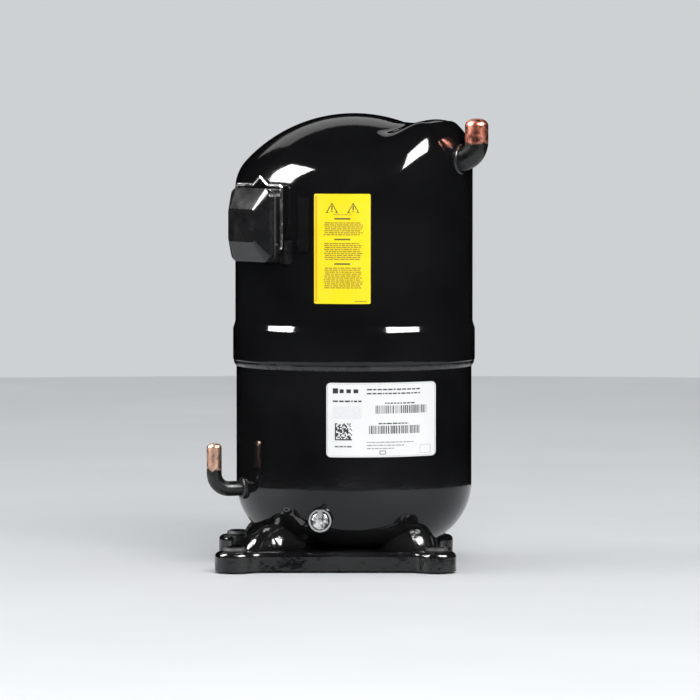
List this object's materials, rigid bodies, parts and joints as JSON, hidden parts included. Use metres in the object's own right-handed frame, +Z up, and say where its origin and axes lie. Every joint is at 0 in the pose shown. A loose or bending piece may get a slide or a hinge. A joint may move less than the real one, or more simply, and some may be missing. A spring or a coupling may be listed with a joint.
{
  "type": "hermetic scroll compressor",
  "caption": "Hermetic scroll compressor: domed black two-part shell on a pressed four-foot base, copper stubs, a terminal box with a wire bail, and motor and scroll set inside.",
  "frame": {"origin": "centre of the base bolt pattern, on the plane the grommets stand on", "axes": "+Z up along the shell's axis, -Y toward the front with the two labels, +X toward the suction stub"},
  "size_m": [0.2666, 0.231, 0.431],
  "materials": {
    "gloss_black_shell": "gloss black enamel on drawn steel",
    "black_base": "gloss black enamel on pressed steel",
    "weld_black": "painted weld bead",
    "copper_tube": "bare copper tube, painted black at the elbow; brass stands in for copper",
    "black_moulding": "moulded black thermoset",
    "rubber_black": "moulded rubber",
    "zinc_steel": "zinc plated steel",
    "spring_steel": "bright spring wire",
    "header_steel": "nickel plated steel",
    "seal_glass": "fused glass",
    "yellow_label": "printed film, semi gloss",
    "white_label": "printed film, semi gloss",
    "heater_metal": "bright heater case",
    "iron_grey": "machined grey iron",
    "lamination_steel": "stacked laminations",
    "copper_winding": "varnished windings; brass stands in for copper",
    "cast_aluminium": "die cast aluminium",
    "ground_steel": "ground shaft steel",
    "bearing_bronze": "sintered bronze",
    "dark_plastic": "moulded nylon",
    "lead_insulation": "insulated motor lead"
  },
  "bodies": {
    "housing": {"upper_shell": "gloss_black_shell", "lower_shell": "gloss_black_shell", "seam_weld": "weld_black", "base_plate": "black_base", "foot_grommets": "rubber_black", "foot_sleeves": "black_base", "suction_stub": "copper_tube", "suction_weld_ring": "weld_black", "discharge_stub": "copper_tube", "discharge_weld_ring": "weld_black", "terminal_box": "black_moulding", "terminal_gasket": "rubber_black", "terminal_header": "header_steel", "terminal_seals": "seal_glass", "terminal_pins": "header_steel", "lead_plug": "dark_plastic", "motor_leads": "lead_insulation", "earth_tab": "black_base", "earth_screw": "black_base", "heater_well": "black_base", "crankcase_heater": "heater_metal", "heater_clip": "spring_steel", "warning_label": "yellow_label", "rating_label": "white_label", "stator_core": "lamination_steel", "stator_windings": "copper_winding", "thermal_protector": "dark_plastic", "stator_bolts": "zinc_steel", "frame_spacers": "zinc_steel", "lower_bearing_bracket": "iron_grey", "lower_bearing_bush": "bearing_bronze", "main_frame": "iron_grey", "main_bearing_bush": "bearing_bronze", "fixed_scroll": "iron_grey", "scroll_bolts": "zinc_steel", "suction_connector": "ground_steel", "connector_o_ring": "rubber_black", "suction_valve_cage": "zinc_steel", "suction_valve_seat": "ground_steel", "suction_valve_spring": "spring_steel", "discharge_valve_cage": "zinc_steel", "cage_screws": "zinc_steel"},
    "crank": {"crankshaft": "ground_steel", "rotor_core": "lamination_steel", "rotor_end_rings": "cast_aluminium", "upper_counterweight": "iron_grey", "lower_counterweight": "iron_grey", "oil_pickup": "zinc_steel"},
    "orbiting": {"orbiting_scroll": "iron_grey", "orbiting_bush": "bearing_bronze"},
    "oldham": {"oldham_ring": "cast_aluminium"},
    "suction_check_disc": {"suction_valve_disc": "ground_steel"},
    "discharge_check_disc": {"discharge_valve_disc": "ground_steel"},
    "bail": {"wire_bail": "spring_steel"},
    "cover": {"terminal_cover": "black_moulding"}
  },
  "joints": [
    {"name": "crank_spin", "type": "hinge", "parent": "housing", "child": "crank", "pos_m": [0.0175, 0, 0], "axis": [0, 0, 1], "continuous": true},
    {"name": "scroll_orbit", "type": "hinge", "parent": "crank", "child": "orbiting", "pos_m": [0.0175, 0.0045, 0], "axis": [0, 0, 1], "continuous": true},
    {"name": "oldham_slide", "type": "slide", "parent": "housing", "child": "oldham", "axis": [1, 0, 0], "range_m": [-0.0045, 0.0045]},
    {"name": "suction_valve_lift", "type": "slide", "parent": "housing", "child": "suction_check_disc", "axis": [0, 0, -1], "range_m": [0, 0.008], "stiffness_N_per_m": 100, "springref_m": -0.004, "deforming": ["suction_valve_spring"]},
    {"name": "discharge_valve_lift", "type": "slide", "parent": "housing", "child": "discharge_check_disc", "axis": [0, 0, 1], "range_m": [0, 0.005]},
    {"name": "bail_swing", "type": "hinge", "parent": "housing", "child": "bail", "pos_m": [-0.07187, -0.07237, 0.3055], "axis": [0.6293, -0.7771, 0], "range_deg": [0, 110]},
    {"name": "cover_pull", "type": "slide", "parent": "housing", "child": "cover", "axis": [-0.7771, -0.6293, 0], "range_m": [0, 0.03]}
  ],
  "couplings": [
    {"joint": "scroll_orbit", "follows": "crank_spin", "ratio": -1}
  ]
}
